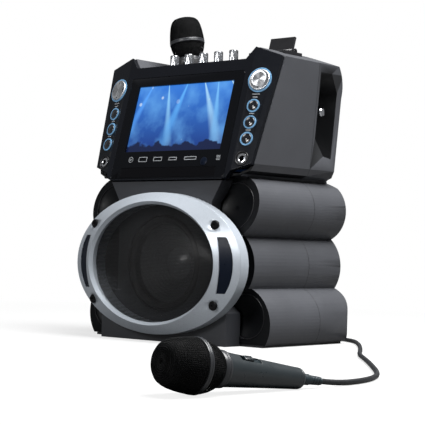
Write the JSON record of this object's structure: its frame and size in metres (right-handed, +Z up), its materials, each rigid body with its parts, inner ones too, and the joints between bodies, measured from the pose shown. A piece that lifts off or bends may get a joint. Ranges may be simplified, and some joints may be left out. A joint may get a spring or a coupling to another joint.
{
  "type": "karaoke machine with disc tray",
  "caption": "Table-top karaoke machine: leaning head with a wide screen, canted control wings and a disc tray, over a ringed woofer, with stored microphones.",
  "frame": {"origin": "on the floor at the centre plane of the cabinet", "axes": "+X to the right of the machine as seen from its front, -Y out of its front, +Z up"},
  "size_m": [0.5921, 0.7754, 0.4076],
  "materials": {
    "shell": "satin dark grey",
    "gloss_black": "gloss",
    "screen": "lit panel",
    "light_ring": "lit ring",
    "pad_metal": "spun",
    "button_black": "gloss",
    "jack_metal": "polished",
    "silver": "silver paint",
    "screw_metal": "satin",
    "smoke_window": "smoked",
    "grille_black": "fine mesh",
    "basket": "satin",
    "magnet": "matte",
    "cone": "paper",
    "surround_rubber": "matte",
    "dish_black": "matte",
    "chrome": "polished",
    "holder_black": "satin",
    "drive_plastic": "matte",
    "board_green": "solder mask",
    "supply_grey": "matte",
    "socket_black": "gloss",
    "socket_brass": "plated",
    "foot_rubber": "matte",
    "mic_mesh": "fine wire mesh",
    "mic_metal": "dark satin",
    "switch_black": "gloss",
    "cord_rubber": "satin",
    "tie_black": "matte",
    "plug_metal": "polished"
  },
  "bodies": {
    "cabinet": {"base_plate": "shell", "circuit_boards": "board_green", "control_frame": "gloss_black", "control_halos": "light_ring", "cord_coil": "cord_rubber", "cord_tail": "cord_rubber", "cord_tie": "tie_black", "display_panel": "screen", "drive_chassis": "drive_plastic", "floor_mic_body": "mic_metal", "floor_mic_grille": "mic_mesh", "front_cabinet": "shell", "front_panel": "shell", "light_windows": "smoke_window", "lobe_dishes": "dish_black", "mic_cord": "cord_rubber", "mic_holder": "holder_black", "mic_jacks": "jack_metal", "mic_plug": "plug_metal", "mic_strain_relief": "cord_rubber", "phone_dock": "holder_black", "power_inlet": "socket_black", "power_supply": "supply_grey", "rca_sockets": "socket_brass", "rear_cabinet": "shell", "rear_panel": "shell", "ring_screws": "screw_metal", "ring_trim": "silver", "rubber_feet": "foot_rubber", "screen_bezel": "gloss_black", "speaker_grille": "grille_black", "strap_studs": "chrome", "top_deck": "gloss_black", "woofer_frame": "basket", "woofer_magnet": "magnet", "woofer_surround": "surround_rubber"},
    "tray": {"disc_tray": "gloss_black"},
    "pinion": {"tray_pinion": "drive_plastic"},
    "spindle": {"disc_spindle": "drive_plastic"},
    "sled": {"pickup_sled": "drive_plastic"},
    "pad_left": {"pad_left": "pad_metal"},
    "button_left_1": {"button_left_1": "button_black"},
    "button_left_2": {"button_left_2": "button_black"},
    "button_left_3": {"button_left_3": "button_black"},
    "pad_right": {"pad_right": "pad_metal"},
    "button_right_1": {"button_right_1": "button_black"},
    "button_right_2": {"button_right_2": "button_black"},
    "button_right_3": {"button_right_3": "button_black"},
    "knob_1": {"knob_1": "chrome"},
    "knob_2": {"knob_2": "chrome"},
    "knob_3": {"knob_3": "chrome"},
    "knob_4": {"knob_4": "chrome"},
    "knob_5": {"knob_5": "chrome"},
    "rest": {"dock_rest": "holder_black"},
    "rocker": {"power_rocker": "socket_black"},
    "cone": {"woofer_cone": "cone"},
    "top_mic": {"top_mic_grille": "mic_mesh", "top_mic_body": "mic_metal"},
    "top_switch": {"top_mic_switch": "switch_black"},
    "floor_switch": {"floor_mic_switch": "switch_black"}
  },
  "joints": [
    {"name": "tray_slide", "type": "slide", "parent": "cabinet", "child": "tray", "axis": [0, -1, 0], "range_m": [0, 0.132]},
    {"name": "pinion_turn", "type": "hinge", "parent": "cabinet", "child": "pinion", "pos_m": [0.07275, -0.058, 0.195], "axis": [0, 0, 1], "range_deg": [0, 870]},
    {"name": "disc_spin", "type": "hinge", "parent": "cabinet", "child": "spindle", "pos_m": [0, -0.014, 0.2], "axis": [0, 0, 1], "continuous": true},
    {"name": "sled_slide", "type": "slide", "parent": "cabinet", "child": "sled", "axis": [0, 1, 0], "range_m": [0, 0.03]},
    {"name": "pad_left_press", "type": "slide", "parent": "cabinet", "child": "pad_left", "axis": [0.1822, 0.947, -0.2644], "range_m": [0, 0.001], "stiffness_N_per_m": 500, "springref_m": -0.0005},
    {"name": "button_left_1_press", "type": "slide", "parent": "cabinet", "child": "button_left_1", "axis": [0.1822, 0.947, -0.2644], "range_m": [0, 0.0012], "stiffness_N_per_m": 400, "springref_m": -0.0005},
    {"name": "button_left_2_press", "type": "slide", "parent": "cabinet", "child": "button_left_2", "axis": [0.1822, 0.947, -0.2644], "range_m": [0, 0.0012], "stiffness_N_per_m": 400, "springref_m": -0.0005},
    {"name": "button_left_3_press", "type": "slide", "parent": "cabinet", "child": "button_left_3", "axis": [0.1822, 0.947, -0.2644], "range_m": [0, 0.0012], "stiffness_N_per_m": 400, "springref_m": -0.0005},
    {"name": "pad_right_press", "type": "slide", "parent": "cabinet", "child": "pad_right", "axis": [-0.1822, 0.947, -0.2644], "range_m": [0, 0.001], "stiffness_N_per_m": 500, "springref_m": -0.0005},
    {"name": "button_right_1_press", "type": "slide", "parent": "cabinet", "child": "button_right_1", "axis": [-0.1822, 0.947, -0.2644], "range_m": [0, 0.0012], "stiffness_N_per_m": 400, "springref_m": -0.0005},
    {"name": "button_right_2_press", "type": "slide", "parent": "cabinet", "child": "button_right_2", "axis": [-0.1822, 0.947, -0.2644], "range_m": [0, 0.0012], "stiffness_N_per_m": 400, "springref_m": -0.0005},
    {"name": "button_right_3_press", "type": "slide", "parent": "cabinet", "child": "button_right_3", "axis": [-0.1822, 0.947, -0.2644], "range_m": [0, 0.0012], "stiffness_N_per_m": 400, "springref_m": -0.0005},
    {"name": "knob_1_turn", "type": "hinge", "parent": "cabinet", "child": "knob_1", "pos_m": [-0.048, -0.018, 0.34], "axis": [0, 0, 1], "range_deg": [-150, 150]},
    {"name": "knob_2_turn", "type": "hinge", "parent": "cabinet", "child": "knob_2", "pos_m": [-0.024, -0.018, 0.34], "axis": [0, 0, 1], "range_deg": [-150, 150]},
    {"name": "knob_3_turn", "type": "hinge", "parent": "cabinet", "child": "knob_3", "pos_m": [0, -0.018, 0.34], "axis": [0, 0, 1], "range_deg": [-150, 150]},
    {"name": "knob_4_turn", "type": "hinge", "parent": "cabinet", "child": "knob_4", "pos_m": [0.024, -0.018, 0.34], "axis": [0, 0, 1], "range_deg": [-150, 150]},
    {"name": "knob_5_turn", "type": "hinge", "parent": "cabinet", "child": "knob_5", "pos_m": [0.048, -0.018, 0.34], "axis": [0, 0, 1], "range_deg": [-150, 150]},
    {"name": "rest_fold", "type": "hinge", "parent": "cabinet", "child": "rest", "pos_m": [0.0845, 0.027, 0.3522], "axis": [1, 0, 0], "range_deg": [0, 107]},
    {"name": "rocker_rock", "type": "hinge", "parent": "cabinet", "child": "rocker", "pos_m": [-0.02, 0.1, 0.058], "axis": [1, 0, 0], "range_deg": [-10, 10]},
    {"name": "cone_pump", "type": "slide", "parent": "cabinet", "child": "cone", "axis": [0, -1, 0], "range_m": [-0.003, 0.003], "stiffness_N_per_m": 900},
    {"name": "top_mic_lift", "type": "slide", "parent": "cabinet", "child": "top_mic", "axis": [-0.1736, 0, 0.9848], "range_m": [0, 0.1]},
    {"name": "top_switch_slide", "type": "slide", "parent": "top_mic", "child": "top_switch", "axis": [0.1736, 0, -0.9848], "range_m": [0, 0.005]},
    {"name": "floor_switch_slide", "type": "slide", "parent": "cabinet", "child": "floor_switch", "axis": [0.1722, 0.9768, -0.1274], "range_m": [0, 0.005]}
  ],
  "couplings": [
    {"joint": "pinion_turn", "follows": "tray_slide", "rad_per_m": 114.29}
  ]
}
